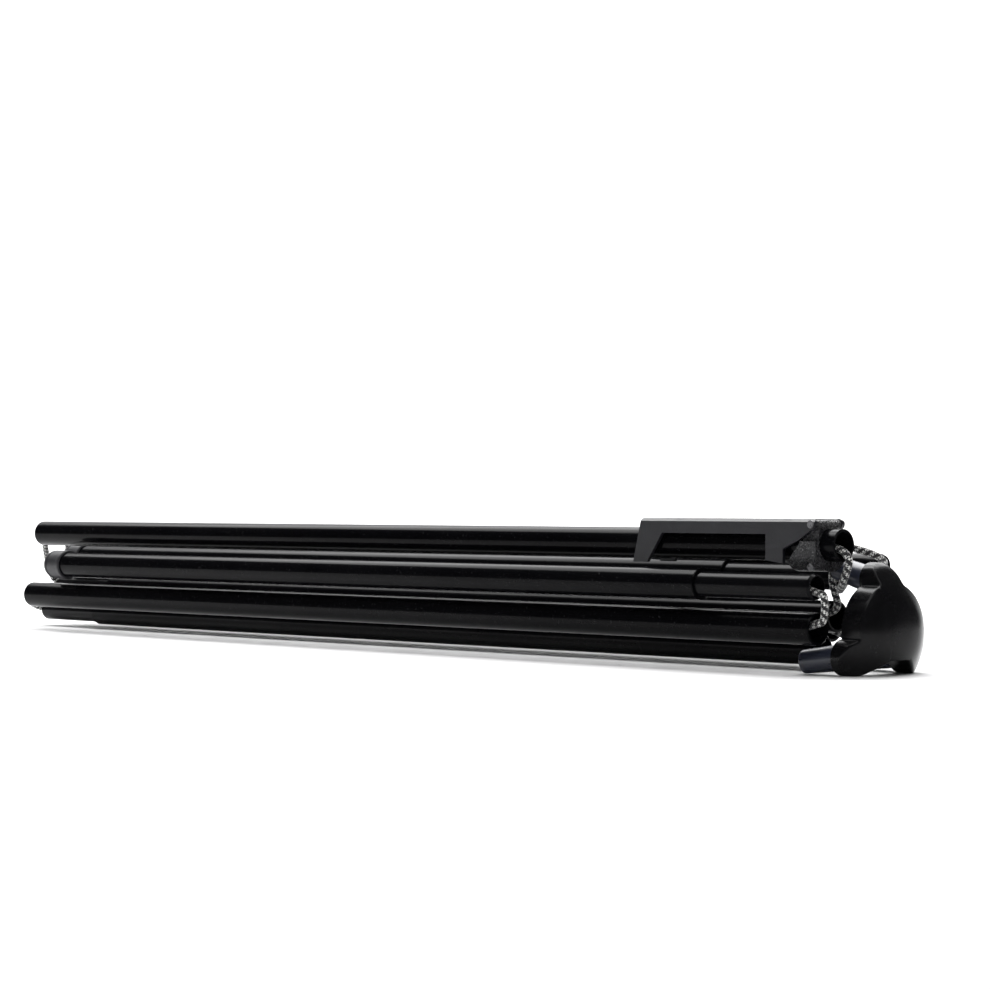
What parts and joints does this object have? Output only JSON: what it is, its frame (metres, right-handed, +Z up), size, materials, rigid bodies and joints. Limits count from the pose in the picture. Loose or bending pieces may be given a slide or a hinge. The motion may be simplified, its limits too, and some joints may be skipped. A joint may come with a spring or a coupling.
{
  "type": "folding sign stand",
  "caption": "Tripod sign stand folded into a bundle: corded black tubes that plug together onto a splayed hub, with fold-out board holders.",
  "frame": {"origin": "centre of the folded bundle's bounding box, on the floor it lies on", "axes": "+X along the bundle towards the hub, +Y across it, +Z up from the floor it lies on"},
  "size_m": [0.6136, 0.0856, 0.06],
  "materials": {
    "tube_paint": "gloss black enamel",
    "ferrule_paint": "gloss black enamel, rubbed",
    "hub_plastic": "gloss",
    "spigot_metal": "gloss, bluish black",
    "holder_plastic": "satin, pebbled collar",
    "foot_rubber": "matt",
    "washer_plastic": "matt",
    "screw_steel": "zinc plated",
    "cord": "black braid with white flecks"
  },
  "bodies": {
    "hub": {"hub_shell": "hub_plastic", "hub_cords": "cord", "hub_knots": "cord", "hub_spigot_rear": "spigot_metal", "hub_spigot_left": "spigot_metal", "hub_spigot_right": "spigot_metal"},
    "link_top_rear": {"cord_top_rear": "cord"},
    "upper_rear": {"upper_tube_rear": "tube_paint", "upper_ferrule_rear": "ferrule_paint", "upper_cord_rear": "cord"},
    "link_mid_rear": {"cord_bend_mid_rear": "cord"},
    "middle_rear": {"middle_tube_rear": "tube_paint", "middle_cord_rear": "cord"},
    "link_low_rear": {"cord_bend_low_rear": "cord"},
    "lower_rear": {"lower_tube_rear": "tube_paint", "lower_ferrule_rear": "ferrule_paint", "lower_cord_rear": "cord", "foot_cap_rear": "foot_rubber", "foot_washer_rear": "washer_plastic", "foot_knot_rear": "cord"},
    "link_top_left": {"cord_top_left": "cord"},
    "upper_left": {"upper_tube_left": "tube_paint", "upper_ferrule_left": "ferrule_paint", "upper_cord_left": "cord"},
    "link_mid_left": {"cord_bend_mid_left": "cord"},
    "middle_left": {"middle_tube_left": "tube_paint", "middle_cord_left": "cord"},
    "link_low_left": {"cord_bend_low_left": "cord"},
    "lower_left": {"lower_tube_left": "tube_paint", "lower_ferrule_left": "ferrule_paint", "lower_cord_left": "cord", "foot_cap_left": "foot_rubber", "foot_washer_left": "washer_plastic", "foot_knot_left": "cord"},
    "link_top_right": {"cord_top_right": "cord"},
    "upper_right": {"upper_tube_right": "tube_paint", "upper_ferrule_right": "ferrule_paint", "upper_cord_right": "cord"},
    "link_mid_right": {"cord_bend_mid_right": "cord"},
    "middle_right": {"middle_tube_right": "tube_paint", "middle_cord_right": "cord"},
    "link_low_right": {"cord_bend_low_right": "cord"},
    "lower_right": {"lower_tube_right": "tube_paint", "lower_ferrule_right": "ferrule_paint", "lower_cord_right": "cord", "foot_cap_right": "foot_rubber", "foot_washer_right": "washer_plastic", "foot_knot_right": "cord"},
    "collar_left": {"holder_collar_left": "holder_plastic", "holder_screw_left": "screw_steel", "holder_nut_left": "screw_steel", "holder_pin_left": "screw_steel"},
    "arm_left": {"holder_arm_left": "holder_plastic"},
    "collar_right": {"holder_collar_right": "holder_plastic", "holder_screw_right": "screw_steel", "holder_nut_right": "screw_steel", "holder_pin_right": "screw_steel"},
    "arm_right": {"holder_arm_right": "holder_plastic"}
  },
  "joints": [
    {"name": "swing_rear", "type": "hinge", "parent": "hub", "child": "link_top_rear", "pos_m": [0.30724, -0.01474, -0.04192], "axis": [0.7133, -0.266, 0.6485], "range_deg": [0, 21.47], "deforming": ["cord_top_rear"]},
    {"name": "plug_top_rear", "type": "slide", "parent": "link_top_rear", "child": "upper_rear", "axis": [1, 0, 0], "range_m": [0, 0.02635]},
    {"name": "fold_mid_rear", "type": "hinge", "parent": "upper_rear", "child": "link_mid_rear", "pos_m": [-0.28559, -0.0191, 0.0132], "axis": [0, -0.3409, -0.9401], "range_deg": [0, 180], "deforming": ["cord_bend_mid_rear"]},
    {"name": "plug_mid_rear", "type": "slide", "parent": "link_mid_rear", "child": "middle_rear", "axis": [-1, 0, 0], "range_m": [0, 0.0762]},
    {"name": "plug_low_rear", "type": "slide", "parent": "middle_rear", "child": "link_low_rear", "axis": [-1, 0, 0], "range_m": [0, 0.0625]},
    {"name": "fold_low_rear", "type": "hinge", "parent": "link_low_rear", "child": "lower_rear", "pos_m": [0.28811, -0.03375, 0.026], "axis": [0, 0.982, 0.1891], "range_deg": [0, 180], "deforming": ["cord_bend_low_rear"]},
    {"name": "swing_left", "type": "hinge", "parent": "hub", "child": "link_top_left", "pos_m": [0.29831, 0.03828, 0.053], "axis": [-0.7815, 0.6153, 0.1029], "range_deg": [0, 24.15], "deforming": ["cord_top_left"]},
    {"name": "plug_top_left", "type": "slide", "parent": "link_top_left", "child": "upper_left", "axis": [1, 0, 0], "range_m": [0, 0.02493]},
    {"name": "fold_mid_left", "type": "hinge", "parent": "upper_left", "child": "link_mid_left", "pos_m": [-0.28459, -0.0096, 0.0355], "axis": [0, -0.7724, -0.6351], "range_deg": [0, 180], "deforming": ["cord_bend_mid_left"]},
    {"name": "plug_mid_left", "type": "slide", "parent": "link_mid_left", "child": "middle_left", "axis": [-1, 0, 0], "range_m": [0, 0.0688]},
    {"name": "plug_low_left", "type": "slide", "parent": "middle_left", "child": "link_low_left", "axis": [-1, 0, 0], "range_m": [0, 0.0847]},
    {"name": "fold_low_left", "type": "hinge", "parent": "link_low_left", "child": "lower_left", "pos_m": [0.28951, -0.00795, 0.04325], "axis": [0, -0.4405, -0.8977], "range_deg": [0, 180], "deforming": ["cord_bend_low_left"]},
    {"name": "swing_right", "type": "hinge", "parent": "hub", "child": "link_top_right", "pos_m": [0.26485, -0.02565, 0.01661], "axis": [-0.7356, -0.2513, -0.629], "range_deg": [0, 22.22], "deforming": ["cord_top_right"]},
    {"name": "plug_top_right", "type": "slide", "parent": "link_top_right", "child": "upper_right", "axis": [1, 0, 0], "range_m": [0, 0.02536]},
    {"name": "fold_mid_right", "type": "hinge", "parent": "upper_right", "child": "link_mid_right", "pos_m": [-0.30219, 0.01835, 0.0329], "axis": [0, -0.9966, 0.0818], "range_deg": [0, 180], "deforming": ["cord_bend_mid_right"]},
    {"name": "plug_mid_right", "type": "slide", "parent": "link_mid_right", "child": "middle_right", "axis": [-1, 0, 0], "range_m": [0, 0.0526]},
    {"name": "plug_low_right", "type": "slide", "parent": "middle_right", "child": "link_low_right", "axis": [-1, 0, 0], "range_m": [0, 0.0684]},
    {"name": "fold_low_right", "type": "hinge", "parent": "link_low_right", "child": "lower_right", "pos_m": [0.26151, 0.0275, 0.0449], "axis": [0, -0.4955, -0.8686], "range_deg": [0, 180], "deforming": ["cord_bend_low_right"]},
    {"name": "collar_slide_left", "type": "slide", "parent": "middle_left", "child": "collar_left", "axis": [-1, 0, 0], "range_m": [0, 0.12]},
    {"name": "arm_fold_left", "type": "hinge", "parent": "collar_left", "child": "arm_left", "pos_m": [0.28011, -0.0214, 0.05795], "axis": [0, 1, 0], "range_deg": [0, 90]},
    {"name": "collar_slide_right", "type": "slide", "parent": "middle_right", "child": "collar_right", "axis": [-1, 0, 0], "range_m": [0, 0.12]},
    {"name": "arm_fold_right", "type": "hinge", "parent": "collar_right", "child": "arm_right", "pos_m": [0.24021, 0.0197, 0.05745], "axis": [0, 1, 0], "range_deg": [0, 90]}
  ]
}
